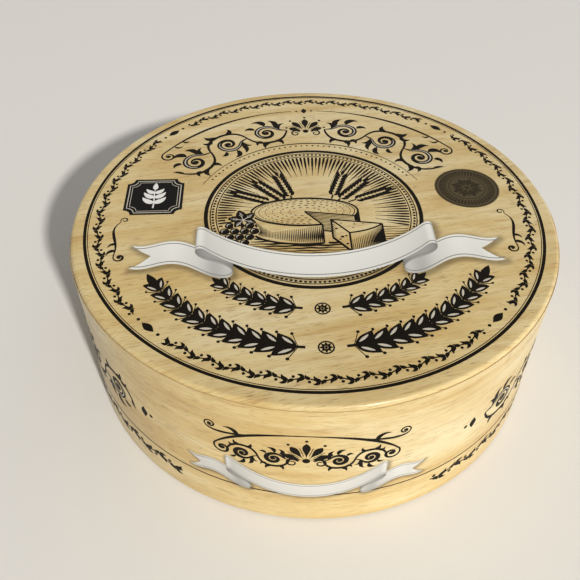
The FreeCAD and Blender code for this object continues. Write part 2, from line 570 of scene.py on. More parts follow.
def stroke(path, *widths):
    """Strip along a path, its edges half a width to the right and the left of it.

    One width is even, two taper evenly, and three or four are the numbers of a swell.
    """
    width = widths[0]
    if len(widths) == 2:
        width = np.linspace(*widths, len(path))
    elif len(widths) > 2:
        width = swell(len(path), *widths)
    along = np.gradient(path, axis=0)
    along /= np.maximum(np.linalg.norm(along, axis=1, keepdims=True), 1e-9)
    half = np.broadcast_to(np.maximum(width, least_width), len(path))[:, None] / 2
    left = np.stack([-along[:, 1], along[:, 0]], axis=1) * half
    return np.stack([path - left, path + left], axis=1)


def line(start, end, *widths, count=8):
    """Straight stroke between two points."""
    return stroke(np.linspace(start, end, count), *widths)


def leaf(base, tip, width, bow=0.0, count=9, full=0.8, lean=0.65):
    """Leaf between two points: a bowed midrib, with the width a sine to a power along it."""
    base, tip = np.asarray(base, float), np.asarray(tip, float)
    t = np.linspace(0, 1, count)[:, None]
    across = np.array([base[1] - tip[1], tip[0] - base[0]])
    rib = base + (tip - base) * t + across * bow * 4 * t * (1 - t)
    return stroke(rib, width * np.sin(np.pi * t[:, 0] ** lean) ** full)


def diamond(x, y, reach, width, count=13):
    """Upright pointed oval round a point."""
    return leaf((x, y - reach), (x, y + reach), width, 0, count, 1.1, 1.0)


def spot(centre, radius, squash=1.0, count=9):
    """Round or oval spot, as a strip between its lower and its upper half."""
    a = np.linspace(0.05, np.pi - 0.05, count)
    x, y = -np.cos(a), np.sin(a) * squash
    return np.stack([np.stack([x, -y], 1), np.stack([x, y], 1)], axis=1) * radius + centre


def dots(radius, angles, size):
    """Round spots on a circle about the origin."""
    return [spot(radius * unit(angle), size) for angle in angles]


def hoop(centre, radius, width, step=1.2):
    """Ring, as a strip that meets its own start."""
    around = unit(np.linspace(0, 360, max(13, int(TAU * radius / step))))
    return np.stack([around * radius, around * (radius - width)], axis=1) + centre


def part_of(strip, low, high, start=0.0, end=1.0):
    """Narrower, shorter strip inside a strip: shares low to high of its width, start to end of its length."""
    count = len(strip)
    place = np.linspace(start, end, count) * (count - 1)
    whole = np.minimum(place.astype(int), count - 2)
    share = (place - whole)[:, None, None]
    a, b = (strip[whole] * (1 - share) + strip[whole + 1] * share).transpose(1, 0, 2)
    return np.stack([a + (b - a) * low, a + (b - a) * high], axis=1)


def glint(strip, low, high, start, end):
    """Light line inside a bold strip, which tapers to nothing at both ends."""
    grid = part_of(strip, low, high, start, end)
    middle = grid.mean(axis=1, keepdims=True)
    taper = np.sin(np.linspace(0.05, np.pi - 0.05, len(grid)))[:, None, None] ** 0.5
    return middle + (grid - middle) * taper


def cut(strips, *outlines):
    """Strips with the stations inside closed outlines taken out. A point is inside an outline where an
    odd number of its edges lie to the point's right."""
    for outline in outlines:
        (x0, y0), (x1, y1) = outline.T, np.roll(outline, -1, axis=0).T
        kept = []
        for strip in strips:
            x, y = strip.mean(axis=1).T[..., None]
            where = x0 + (y - y0) * (x1 - x0) / np.where(y1 == y0, 1e-9, y1 - y0)
            stays = (((y0 > y) != (y1 > y)) & (x < where)).sum(-1) % 2 == 0
            edges = np.flatnonzero(np.diff(np.concatenate([[False], stays, [False]]).astype(int)))
            kept += [strip[a:b] for a, b in zip(edges[::2], edges[1::2]) if b - a > 1]
        strips = kept
    return strips


def mirrored(strips):
    """Strips with their mirror images in the upright axis."""
    return strips + [strip[:, ::-1] * (-1, 1) for strip in strips]


def shifted(strips, x, y, degrees=0.0, scale=1.0):
    """Strips scaled and turned about the origin, then moved."""
    return [turn(strip * scale, degrees) + (x, y) for strip in strips]


def bent(strips, radius, middle=90.0):
    """Strips drawn along a level line, bent round the origin with their tops outwards."""
    return [(radius + s[..., 1:]) * unit(middle - np.degrees(s[..., 0] / radius)) for s in strips]


# Print: motifs, drawn at the origin

def running_scroll(count, pitch, size, bold, light):
    """Rinceau: a waving stem that passes under and over volutes that curl the other way, with leaves.

    The stem is a cubic wave, and each volute a spiral that leaves it where it crosses the middle line.
    """
    half = pitch / 2
    stem = curve((-half, 0), (-half * 0.84, -size * 0.72), (-half * 0.5, -size), (0, -size),
                 (half * 0.5, -size), (half * 0.84, -size * 0.72), (half, 0), step=0.7)
    curl = volute((0, 0), size * 0.80, size * 0.13, 172, -1.7, 0.75)
    join = curve((-half, 0), (-half * 0.98, size * 0.1), (-size * 0.92, size * 0.02), curl[1], step=0.6)
    scroll = stroke(np.concatenate([join[:-1], curl[1:]]), 0.3 * bold, 1.3 * bold, 0.4 * bold, 0.3)
    one = [stroke(stem, bold * (0.5 + 0.35 * np.sin(np.linspace(0, np.pi, len(stem))))), scroll,
           spot((0, 0), size * 0.17)]
    for *ends, wide, bow in ((-0.30, -0.92, -0.72, -1.42, 0.30, -0.3), (0.05, -1.02, 0.62, -1.50, 0.34, 0.3),
                             (0.52, -0.80, 1.02, -1.05, 0.26, 0.3), (-0.62, 0.52, -0.42, 1.30, 0.32, 0.25),
                             (-0.10, 0.78, 0.46, 1.34, 0.34, 0.3), (0.55, 0.55, 1.06, 0.72, 0.26, 0.3),
                             (-0.84, 0.16, -1.22, 0.80, 0.28, -0.3)):
        one.append(leaf(*np.reshape(ends, (2, 2)) * size, wide * size, bow, 11, 0.9, 0.75))
    base, tip = (half - 0.02 * size, -0.10 * size), (half + 0.14 * size, 0.55 * size)
    last = leaf(base, tip, 0.85 * bold, 0.1, 11, 0.9, 0.75)
    places = [((1, 1 - 2 * (k % 2)), (k * pitch, 0)) for k in range(count)]
    light += [glint(scroll, 0.38, 0.62, 0.12, 0.45) * flip + at for flip, at in places]
    out = [strip * flip + at for flip, at in places for strip in one]
    flip, at = places[-1]
    return out + [last * flip + at]


def garland(length, step, reach, width, light):
    """Laurel branch: a stem with pairs of leaves that get smaller towards its tip, and berries between."""
    out = [line((0, 0), (length, 0), 1.0, 0.5, count=length)]
    for x in np.arange(0.5 * step, length - step * 0.2, step):
        size = 1 - 0.25 * x / length
        for side, low in ((1, 0.55), (-1, 0.22)):
            tip = (x, 0) + reach * size * unit(side * 34)
            blade = leaf((x, 0.15 * side), tip, width * size, -0.10 * side, 11, 0.75, 0.85)
            berry = (x + step * 0.42, side * reach * 0.62 * size)
            twig = curve((x - 0.1 * step, 0), (x + 0.05 * step, side), (x + 0.3 * step, side * reach * 0.5),
                         berry, step=0.7)
            out += [blade, spot(berry, 0.55 * size), stroke(twig, 0.26)]
            light.append(glint(blade, low, low + 0.23, 0.2, 0.75))
    return out + [leaf((length - 0.5, 0), (length + reach * 0.7, 0), width * 0.7, 0, 11)]


def palmette():
    """Fan of five drop-shaped petals over two small volutes, with a dot beyond each tip."""
    out = []
    for share in np.linspace(-1, 1, 5):
        away, between = unit(90 - share * 66), unit(106.5 - share * 66)
        reach = 9 - 1.98 * share**2
        out += [leaf(1.44 * away, reach * away, 2.43, 0, 13, 0.9, 1.9), spot(reach * 1.13 * away, 0.495)]
        if share > -1:
            out.append(line(2.7 * between, 7.02 * between, 0.22, count=6))
    for side in (1, -1):
        curl = volute((side * 4.14, -1.08), 2.16, 0.54, 90 + side * 60, -side * 1.3)
        out.append(stroke(curl, 0.9, 0.7, 0.35, 0.2))
    return out + [spot((0, 0.18), 1.17)]


def wheat_ear(size):
    """Ear of wheat along +x: kernels in slanting pairs and one at the tip, each with its beard."""
    out = []
    for k in range(8):
        for side in (1, -1):
            base = size * np.array((k * 1.55, side * 0.25))
            tip = base + 3.0 * size * unit(side * 27)
            beard = tip + (3.2 - 0.12 * k) * size * unit(side * 14)
            out += [leaf(base, tip, 1.25 * size, side * 0.12, 9, 0.7, 0.9),
                    line(tip - 0.2 * unit(side * 20), beard, 0.22 * size, 0.1 * size, count=5)]
    return out + [leaf((11.9 * size, 0), (15 * size, 0), 1.2 * size, 0, 9, 0.7, 0.9),
                  line((14.8 * size, 0), (18.4 * size, 0), 0.22 * size, 0.1 * size, count=5)]


def grapes(rows, size, at, light):
    """Hanging bunch: rows of dark round berries, each with a light crescent. Gives also their outlines."""
    berries, outlines = [], []
    for row, count in enumerate(rows):
        for k in range(count):
            middle = at + np.array(((k - (count - 1) / 2) * size * 1.8, -row * size * 1.58))
            berries.append(spot(middle, size * 0.9, count=13))
            outlines.append(middle + size * unit(np.arange(0, 360, 20)))
            light.append(stroke(middle + size * 0.52 * unit(np.linspace(75, 215, 9)), 0.08, 0.42, 0.08))
    return berries, outlines


def vine_leaf(size, at, degrees, light):
    """Dark leaf with five lobes, in polar form: the radius falls between the lobes and away from the
    middle one, with fine teeth. A light vein runs to each lobe, with side veins."""
    a = np.linspace(-1, 1, 101)
    notch = np.abs((a + 1) * 2.5 % 1 - 0.5) * 2
    teeth = 0.05 * np.abs(np.sin(a * 12.5 * np.pi))
    edge = (size * (1 - 0.42 * notch**0.9 + teeth) * (1 - 0.26 * a**2))[:, None] * unit(90 + 158 * a)
    veins = []
    for share in (-0.8, -0.4, 0, 0.4, 0.8):
        tip = size * 0.84 * (1 - 0.26 * share**2) * unit(90 + 158 * share)
        veins.append(line((0, 0), tip, 0.34, 0.1, count=9))
        for along in (0.4, 0.65):
            for side in (-32, 32):
                end = tip * along + size * 0.34 * (1.05 - along) * unit(90 + 158 * share + side)
                veins.append(line(tip * along, end, 0.16, count=4))
    light += shifted(veins, *at, degrees)
    return shifted([np.stack([edge, edge * 0.02], axis=1)], *at, degrees), turn(edge, degrees) + at


def sprig_band(length):
    """Running sprig: a sine wave for a stem, with leaves on both sides and a berry in each hollow."""
    count = int(length / 4.5)
    pitch = length / count
    x = np.linspace(0, length, count * 8 + 1)
    sprig = [leaf((-0.2, 0.45), (2.0, -1.35), 1.35, 0.2), leaf((-1.7, 0.3), (-0.1, 1.7), 1.2, -0.2),
             leaf((0.3, 0.5), (2.2, 1.6), 1.1, 0.2), spot((-1.4, -0.8), 0.48)]
    out = [stroke(np.stack([x, -0.5 * np.sin(np.pi * x / pitch)], axis=1), 0.42)]
    for k in range(count):
        out += [strip * (1, 2 * (k % 2) - 1) + ((k + 0.5) * pitch, 0) for strip in sprig]
    return shifted(out, -length / 2, 0)


# Print: the top

def outer_band():
    """Four lengths of running sprig on a circle, with a diamond between two dots in each gap."""
    radius, gap = 73.3, 7.2
    out = []
    for quarter in (0, 90, 180, 270):
        out += bent(sprig_band(TAU * radius / 4 - 2 * gap), radius, quarter)
        out.append(turn(diamond(radius, 0, 2.7, 2.5), quarter + 45))
        out += dots(radius, (quarter + 41.5, quarter + 48.5), 0.55)
    return out


def front_garlands(light):
    """Two laurel swags on the front half, each from a rosette in the middle out to both sides."""
    out = []
    for radius, length, step, reach, width in ((61.6, 55, 4.9, 7.9, 4.1), (46.2, 27, 4.6, 7.0, 3.7)):
        glints = []
        branch = garland(length, step, reach, width, glints)
        out += bent(mirrored(shifted(branch, 6.0, 0)), radius, front)
        light += bent(mirrored(shifted(glints, 6.0, 0)), radius, front)
        rosette = [leaf(0.5 * unit(angle), 2.0 * unit(angle), 0.9, 0, 7) for angle in range(0, 360, 45)]
        out += shifted([hoop((0, 0), 2.5, 0.5, 0.7), *rosette, spot((0, 0), 0.45)], 0, -radius)
    return out


def upper_scrolls(light):
    """Two running scrolls that leave a palmette at the back and end at the sides, under a long rule."""
    radius = 52.6
    glints = []
    out = bent(mirrored(shifted(running_scroll(3, 16.6, 6.6, 1.45, glints), 15.8, 0)), radius)
    out += bent(shifted(palmette(), 0, -1.5), radius)
    light += bent(mirrored(shifted(glints, 15.8, 0)), radius)
    away = unit(34)
    rule = [stroke(arc(66.4, 85.5, 34), 0.3, 1.15, 0.6, 0.6),
            stroke(volute(63.5 * away, 2.9, 0.7, 34, -1.35), 0.6, 0.75, 0.35, 0.3), spot(63.5 * away, 0.75)]
    for angle, reach in ((39.5, 3.4), (43.5, 2.6)):
        base = 66.2 * unit(angle)
        rule.append(leaf(base, base + reach * (0.7 * turn(away, 90) - 0.75 * away), 0.95, 0.3))
    out += mirrored(rule) + [diamond(0, 66.4, 1.9, 2.1, 11)] + dots(66.4, (87.4, 92.6), 0.45)
    return out + [stroke(arc(42.6, 24, 156), 0.2, 0.55, 0.2)] + dots(41.0, np.arange(30, 151, 3.0), 0.38)


def side_flourishes():
    """Slim S-strokes between the garlands and the band, each with a volute and two small leaves."""
    path = curve((65.8, -3.0), (70.5, -8.0), (64.5, -13.0), (66.2, -20.0), step=0.6)
    return mirrored([
        stroke(path, 0.3, 1.0, 0.4), stroke(volute((64.2, -21.0), 2.1, 0.5, 30, -1.2), 0.4, 0.8, 0.3),
        stroke(volute((64.6, -1.9), 1.5, 0.5, -40, 1.1), 0.3, 0.5, 0.3), spot((64.2, -21.0), 0.6),
        leaf((65.7, -17.6), (68.6, -20.2), 1.3, 0.25, lean=0.5),
        leaf((65.9, -14.4), (68.6, -16.2), 1.1, 0.25, lean=0.5)])


# The drawn cheese: an oval top with a wall below it, a wedge drawn out of it, and the side that is lit
cheese_wide, cheese_deep, cheese_wall = 18.5, 7.6, 9.5
cheese_middle = np.array((-3.0, 0.5))
cut_start, cut_end = -72, -22
lit_side = 232
wedge_move = np.array((8.8, -4.6))
medallion_reach = 33.6


def oval(angles, share=1.0, drop=0.0):
    """Points of the cheese's oval, at a share of its size and some way down its wall."""
    return cheese_middle + unit(angles) * (cheese_wide * share, cheese_deep * share) - (0, drop)


def wheel():
    """The wheel: outlines, upright hatching that is heavy away from the light, and bloom on its top."""
    around = np.linspace(cut_end, cut_start + 360, 90)
    out = [stroke(oval(around), 0.7), stroke(oval(around, 0.94), 0.28),
           stroke(oval(np.linspace(180, 360 + cut_start, 40), 1, cheese_wall), 0.9),
           stroke(oval(np.linspace(cut_end, 0, 12), 1, cheese_wall), 0.9),
           line(cheese_middle, oval(cut_start), 0.65, count=12),
           line(cheese_middle, oval(cut_end), 0.65, count=16)]
    for angle in (180, cut_start, cut_end, 0):
        out.append(line(oval(angle), oval(angle, 1, cheese_wall), 0.65, count=12))
    for angle in np.arange(182, 360 + cut_start, 2.0):
        shade = np.clip(abs(angle - lit_side) / 52, 0, 1)
        top, foot = 0.5 + 4.2 * (1 - shade) ** 1.5, cheese_wall - 0.3 - 1.6 * (1 - shade)
        out.append(line(oval(angle, 1, top), oval(angle, 1, foot), 0.14, 0.20 + 0.42 * shade, 0.2, 0.65))
    for angle in np.arange(cut_end + 2.0, -1, 2.0):
        out.append(line(oval(angle, 1, 0.5), oval(angle, 1, cheese_wall - 0.3), 0.62))
    for share, step, start, end in ((0.86, 7, -12, 282), (0.74, 10, -16, 278), (0.60, 13, -8, 280),
                                    (0.45, 17, 0, 275), (0.30, 26, 0, 265)):
        for angle in np.arange(start, end, step):
            out.append(stroke(oval(angle + np.linspace(-1.9, 1.9, 6) / share, share), 0.1, 0.36, 0.1))
    return out


def far_cut():
    """Cut face on the far side of the gap: outline and level lines, where the near side leaves it open."""
    down, near = (0, cheese_wall), oval(cut_start)
    foot = cheese_middle - down
    out = [line(cheese_middle, foot, 0.6, count=24), line(foot, oval(cut_end) - down, 0.6, count=40)]
    for drop in np.linspace(0.8, cheese_wall - 0.6, 12):
        start, end = cheese_middle - (0, drop), oval(cut_end, 0.97, drop)
        out.append(line(start + (end - start) * 0.04, end, 0.5, 0.3, 0.2, 0.3, count=40))
    return cut(out, np.array([cheese_middle, near, near - down, (foot[0], near[1] - cheese_wall)]))


def wedge():
    """The wedge in front: a pale cut face with a few holes, and a rind hatched darker to the right."""
    tip, near, far = cheese_middle + wedge_move, oval(cut_start) + wedge_move, oval(cut_end) + wedge_move
    rind = oval(np.linspace(cut_start, cut_end, 24)) + wedge_move
    down = np.array((0, -cheese_wall))
    out = [line(tip, near, 0.65, count=16), line(tip, far, 0.65, count=16), stroke(rind, 0.7),
           stroke(rind + down, 0.9), line(tip + down, near + down, 0.9, count=12)]
    out += [line(corner, corner + down, 0.65, count=12) for corner in (tip, near, far)]
    for share in np.linspace(0.04, 0.97, 22):
        point = np.array([np.interp(share * 23, np.arange(24), axis) for axis in rind.T])
        top = point - (0, 0.5 + 3.5 * (1 - share) ** 2)
        out.append(line(top, point + down + (0, 0.4), 0.14, 0.22 + 0.42 * share, 0.25, 0.7))
    for share, across, size in ((0.35, 0.3, 0.4), (0.6, 0.62, 0.45), (0.78, 0.3, 0.35), (0.72, 0.8, 0.3)):
        out.append(spot(tip + ((near - tip) * (1 - across) + (far - tip) * across) * share, size, 0.5))
    for share, drop, size in ((0.25, 3.0, 0.5), (0.55, 5.2, 0.62), (0.42, 7.4, 0.4), (0.78, 3.1, 0.42),
                              (0.8, 7.0, 0.5)):
        out.append(spot(tip + (near - tip) * share - (0, drop), size, 0.8))
    for drop in np.arange(0.9, cheese_wall, 1.15):
        start = tip - (0, drop)
        out.append(line(start + (0.2, -0.2), start + (near - tip) * 0.22, 0.34, 0.1, count=6))
    return out, np.concatenate([[tip], [far], (rind + down)[::-1], [tip + down]])


def sheaf():
    """Wheat behind the wheel: three ears to each side, on stalks from one point."""
    ears = []
    root = np.array((5.0, 2.0))
    for angle, reach, size in ((24, 11.5, 1.0), (47, 7.5, 1.1), (71, 8.0, 1.05)):
        head = root + reach * unit(angle)
        ears += shifted(wheat_ear(size), *head, angle) + [line(root, head, 0.6, count=12)]
    return mirrored(ears)


def table_lines():
    """Table: level lines from edge to edge of the medallion, wavy, and heavy under the wheel's foot."""
    out = []
    for k, y in enumerate(np.arange(-8.6, -24, -1.25)):
        half = np.sqrt(medallion_reach**2 - y**2) - 0.6
        x = np.linspace(-half, half, 120)
        across = (x - cheese_middle[0]) / cheese_wide
        foot = cheese_middle[1] - cheese_wall - cheese_deep * np.sqrt(1 - np.clip(across, -1, 1) ** 2)
        shadow = np.exp(-((foot - y) / 3.0) ** 2) * smooth((1.25 - np.abs(across - 2 / cheese_wide)) * 4)
        path = np.stack([x, y + 0.14 * np.sin(x * 0.9 + 2 * k)], axis=1)
        out.append(stroke(path, 0.34 + 0.10 * np.sin(x * 0.37 + k) + 0.55 * shadow))
    return out


def sun_rays():
    """Rays round the upper half of the medallion, long and short in turn, widest at four fifths out."""
    return [line((21.5 if k % 2 else 25.5) * unit(angle), (medallion_reach - 0.5) * unit(angle),
                 0.14, 0.85, 0.7, 0.8, count=10) for k, angle in enumerate(np.arange(-14, 195, 2.6))]


def medallion(light):
    """Round engraving: a cheese with its wedge on a table, fruit, wheat and rays, in a beaded ring.

    What lies in front is kept whole, and what lies behind it is cut away inside its outline.
    """
    rings = [hoop((0, 0), 37.8, 1.4), hoop((0, 0), 35.8, 0.4), hoop((0, 0), medallion_reach + 0.2, 0.4)]
    rings += dots(34.75, np.arange(0, 360, 2.5), 0.48)
    wedge_strips, wedge_outline = wedge()
    around = np.linspace(0, 180, 40)
    wheel_outline = np.concatenate([oval(around), oval(180 + around, 1, cheese_wall)])
    berries, berry_outlines = grapes((3, 4, 3, 2), 1.85, (-25.4, -6.4), light)
    blade, blade_outline = vine_leaf(5.6, (-24.2, -3.4), 16, light)
    ground = cut(sun_rays() + sheaf() + table_lines(), wheel_outline)
    behind = cut(ground + wheel() + far_cut(), wedge_outline, *berry_outlines, blade_outline)
    return rings + behind + wedge_strips + cut(berries, blade_outline) + blade


def banner_edge():
    """Upper edge of the right half of the banner: an arc of the body, a turn back, and a waving tail."""
    body = arc(54.5, -90, -48, (0, 33))
    rest = curve(body[-1], (39.4, -4.9), (41.2, -8.0), (38.4, -10.6), (35.4, -13.4), (30.6, -13.4),
                 (28.0, -16.6), (26.0, -19.2), (28.4, -21.8), (32.6, -20.4), (38.0, -18.6), (41.6, -13.2),
                 (48.0, -13.6), (52.6, -13.9), (55.6, -17.0), (60.5, -15.4), step=0.5)
    return np.concatenate([body, rest[1:]])


def ribbon(scale, place):
    """Blank banner, drawn as an upright strip of cloth seen from a little below.

    Its lower edge is the upper edge moved straight down. Where the edge runs back, the strip shows its
    shaded back, and the tone falls as the strip turns away. Gives the runs between the turns and their
    fine lines, each as (layer, strip, tone at each station), with the body on the upper layer.
    """
    height, border = 11.0, 0.42 / 11.0
    half = banner_edge()
    edge = np.concatenate([(half * (-1, 1))[::-1], half[1:]]) * scale + place
    ahead = np.gradient(edge, axis=0)
    facing = ahead[:, 0] / np.linalg.norm(ahead, axis=1)
    along = np.abs(np.arange(len(edge)) - len(edge) // 2) / (len(half) - 1)
    tone = np.where(facing > 0, 0.42 + 0.56 * np.abs(facing) ** 1.6, 0.12 + 0.28 * facing**2)
    tone -= 0.42 * np.exp(-((along - 0.645) / 0.055) ** 2) * (facing > 0)
    tone = tone[:, None] * (0.93, 1.02)
    stops = [0, *(np.flatnonzero(np.diff(np.sign(facing))) + 1), len(edge) - 1]
    runs, lines = [], []
    for layer, first, last in zip((0, 2, 4, 2, 0), stops[:-1], stops[1:]):
        top, shade = edge[first:last + 1], tone[first:last + 1]
        strip = np.stack([top - (0, height * scale), top], axis=1)
        if layer == 0:
            flip = 1 if first else -1
            strip, shade = strip[::flip], shade[::flip]
            notch = int(7.0 * scale / np.linalg.norm(np.diff(top, axis=0), axis=1).mean())
            slide = np.linspace(0, 1, notch)[:, None]
            low, high = strip[-notch:].transpose(1, 0, 2)
            middle = (low + high) / 2
            runs += [(layer, strip[:len(strip) - notch + 1], shade[:len(strip) - notch + 1]),
                     (layer, np.stack([low, middle + (low - middle) * slide], axis=1), shade[-notch:]),
                     (layer, np.stack([middle + (high - middle) * slide, high], axis=1), shade[-notch:])]
        else:
            runs.append((layer, strip, shade))
        lines += [(layer + 1, part_of(strip, low, low + border), 0.0) for low in (0.08, 0.92 - border)]
    return runs, lines


def ribbon_shadow(runs, scale):
    """Soft shadow printed round the banner, as one level grid with a tone at each point.

    The tone falls as a smooth step of the distance to the banner, which stands a little up and left of
    its shadow. The distance to an upright strip is that to the nearest of its upright lines.
    """
    lines = np.concatenate([strip[::2] for _, strip, _ in runs]) + np.array((0.5, -0.9)) * scale
    reach, cell = 2.6 * scale, 0.8 * scale
    spans = zip(lines.min(axis=(0, 1)) - reach, lines.max(axis=(0, 1)) + reach)
    x, y = np.meshgrid(*[np.arange(low, high + cell, cell) for low, high in spans], indexing="ij")
    away_x = x[..., None] - lines[:, 0, 0]
    away_y = np.maximum(np.maximum(y[..., None] - lines[:, 1, 1], lines[:, 0, 1] - y[..., None]), 0)
    return np.stack([x, y], axis=-1), 0.62 * smooth(1 - np.sqrt(away_x**2 + away_y**2).min(axis=-1) / reach)


def seal(x, y, size):
    """Round seal: a dark disc with a thin edge line, a fluted ring and a small sprig, in darker brown."""
    dark = [hoop((0, 0), size - 0.5, 0.35), hoop((0, 0), size - 1.6, 0.25), hoop((0, 0), 6.6, 0.3)]
    for away in unit(np.arange(0, 360, 7.5)):
        dark.append(line(7.2 * away, 9.7 * away, 0.35, 0.75, 0.9, 0.5, count=5))
    for angle in range(0, 360, 45):
        wide, slim = unit(angle + 22.5), unit(angle)
        dark += [leaf(1.2 * wide, 5.6 * wide, 2.0, 0, 11, 0.8, 1.0), leaf(2.8 * slim, 5.2 * slim, 0.8, 0, 7)]
    disc = [np.stack([arc(size, 0, 180), arc(size, 0, -180)], axis=1)]
    return shifted(disc, x, y), shifted(dark + [spot((0, 0), 0.9)], x, y)


def plate_edge(half):
    """Closed outline of an upright plate, with a quarter circle hollowed out of each corner."""
    corners = [(x * half, y * half) + 2.6 * unit(np.linspace(start, start - 90, 8))
               for x, y, start in ((1, 1, 270), (-1, 1, 360), (-1, -1, 90), (1, -1, 180))]
    return np.concatenate(corners + [corners[0][:1]])


def plate(x, y, size):
    """Upright plate with a double light border and a sprig of leaves in white."""
    edge = plate_edge(size)
    border = [stroke(plate_edge(size - 1.1), 0.32), stroke(plate_edge(size - 2.0), 0.2)]
    sprig = [stroke(curve((0, -6.6), (0.4, -3), (-0.4, 1), (0, 4.6)), 0.5, 0.5, 0.25)]
    for foot, reach, wide in ((-3.6, 5.2, 2.2), (-0.6, 4.9, 2.1), (2.0, 4.0, 1.8)):
        for side in (1, -1):
            sprig.append(leaf((0, foot), (0, foot) + reach * unit(90 - side * 52), wide, -side * 0.12, 11))
    sprig.append(leaf((0, 4.0), (0, 7.9), 1.9, 0, 11))
    return [shifted(strips, x, y) for strips in ([np.stack([edge, edge * 0.02], axis=1)], border, sprig)]


# Print: the side

def side_frieze(light, length=142.0, pitch=17.2, size=6.4, middle=32.0):
    """Running scroll along the wall, centred on its length, with a diamond and a dot beyond each end."""
    count = int(length / pitch)
    glints = []
    out = shifted(running_scroll(count, pitch, size, 1.6, glints), -(count - 1) * pitch / 2, middle)
    light += shifted(glints, -(count - 1) * pitch / 2, middle)
    end = length / 2 + 3.5
    return out + mirrored([diamond(end, middle, 2.6, 2.6), spot((end + 3.0, middle), 0.7)])


def side_emblem():
    """Crest at the front: a palmette between scrolls, under a long rule with a volute at both ends."""
    rule = curve((0, 47.2), (12, 47.2), (22, 43.5), (27.5, 36.5), step=0.6)
    branch = curve((16.2, 44.5), (20.2, 43.6), (30.0, 40.6), (30.2, 45.2), step=0.5)
    out = [stroke(rule, 0.4, 1.2, 0.6, 0.6), stroke(volute((25.2, 34.8), 2.9, 0.6, 37, -1.4), 0.6, 0.9, 0.35),
           spot((25.2, 34.8), 0.8), stroke(branch, 0.5, 0.95, 0.45),
           stroke(volute((28.4, 45.2), 1.8, 0.5, 0, 1.25), 0.45, 0.6, 0.3),
           spot((28.4, 45.2), 0.5), leaf((20.0, 43.2), (24.4, 45.6), 1.5, 0.25, lean=0.5)]
    out += shifted(running_scroll(2, 9.4, 3.9, 1.15, []), 9.6, 34.8)
    return mirrored(out) + shifted(palmette(), 0, 34.6)


# Print: laid on the papers

def on_top(points, height):
    """Points of the print, in mm from the middle of the lid, on the top label at a height above it."""
    points = turn(points, print_turn) + print_offset
    return np.concatenate([points, np.full(points.shape[:-1] + (1,), label_top + height)], axis=-1)


def on_side(points, height):
    """Points of the print on the side paper: x along the wall from the front, y the level."""
    angle = front + np.degrees(points[..., 0] / lower_wrap_outer)
    radius = lower_wrap_outer + lap_rise(angle) + height
    return np.concatenate([unit(angle) * radius[..., None], points[..., 1:]], axis=-1)


def flat_top(points):
    """Place on the flat label of points on the top."""
    return turn(points[:, :2], -grain_angle)


def flat_side(points):
    """Place on the flat side paper of points on the wall."""
    angle = np.arctan2(points[:, 1], points[:, 0]) - math.radians(lap_angle)
    return np.stack([angle % TAU * wrap_outer, points[:, 2]], axis=-1)


def slab(name, layers, lay, material, columns=2, flatten=None, lift=0.0):
    """Thin closed slab of ink for each strip. layers are (strip, height, shade): the strip's stations
    become closed sections, from the sunk underside to the height, joined along the strip."""
    points, faces, shades = [], [], []
    first = 0
    share = np.linspace(0, 1, columns)[:, None]
    for number, (strip, height, shade) in enumerate(layers):
        grid = strip[:, :1] * (1 - share) + strip[:, 1:] * share if strip.shape[1] == 2 else strip
        tone = np.broadcast_to(shade, grid.shape[:2])
        area = ((strip[1:, 0] - strip[:-1, 0]) * (strip[:-1, -1] - strip[:-1, 0])[:, ::-1] * (1, -1)).sum()
        if area < 0:
            grid, tone = grid[:, ::-1], tone[:, ::-1]
        closed = np.allclose(grid[0], grid[-1], atol=1e-5)
        if closed:
            grid, tone = grid[:-1], tone[:-1]
        top = lay(grid, height + lift * (number % ink_lifts))
        ring = np.concatenate([top, lay(grid[:, ::-1], -ink_sink)], axis=1)
        here = first + np.arange(ring.shape[0] * ring.shape[1]).reshape(ring.shape[:2])
        first += here.size
        ahead = np.roll(here, -1, axis=0)
        if not closed:
            here, ahead = here[:-1], ahead[:-1]
            k = np.arange(grid.shape[1] - 1)
            cap = np.stack([k, k + 1, ring.shape[1] - 2 - k, ring.shape[1] - 1 - k], axis=1)
            faces += [here[0][cap], ahead[-1][cap[:, ::-1]]]
        quads = np.stack([here, ahead, np.roll(ahead, -1, axis=1), np.roll(here, -1, axis=1)], axis=-1)
        faces.append(quads.reshape(-1, 4))
        points.append(ring.reshape(-1, 3))
        shades.append(np.concatenate([tone, tone[:, ::-1]], axis=1).ravel())
    points, faces = np.concatenate(points), np.concatenate(faces)
    piece = new_piece(name, points, faces.tolist(), material)
    if flatten is not None:
        map_flat(piece, flatten(points)[faces.ravel()])
    tones = piece.data.attributes.new("shade", "FLOAT", "POINT")
    tones.data.foreach_set("value", np.concatenate(shades).astype(np.float32))
    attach(piece, "lid")


def inked(name, strips, lay, ink, height=ink_height, columns=2):
    """Strips printed in one ink, each in turn a hair higher than the one before."""
    slab(name, [(strip, height, 0.0) for strip in strips], lay, ink, columns, lift=ink_lift)


def lay_ribbon(name, lay, flatten, scale=1.0, place=(0.0, 0.0), painted_shade_scale=1.0):
    """Banner with its soft shadow under it, each run in its own thin layer, the body over the turns. Its
    cloth tone is multiplied by the last argument, which below 1 is a painted shade.
    """
    runs, lines = ribbon(scale, place)
    grid, shadow = ribbon_shadow(runs, scale)
    slab(name + "_shadow", [(grid, shadow_height, shadow)], lay, wood_print, flatten=flatten)
    for suffix, strips, material in (("", runs, ribbon_print), ("_lines", lines, line_ink)):
        slab(name + suffix, [(strip, ribbon_height + ribbon_step * layer, tone * painted_shade_scale)
                             for layer, strip, tone in strips], lay, material)


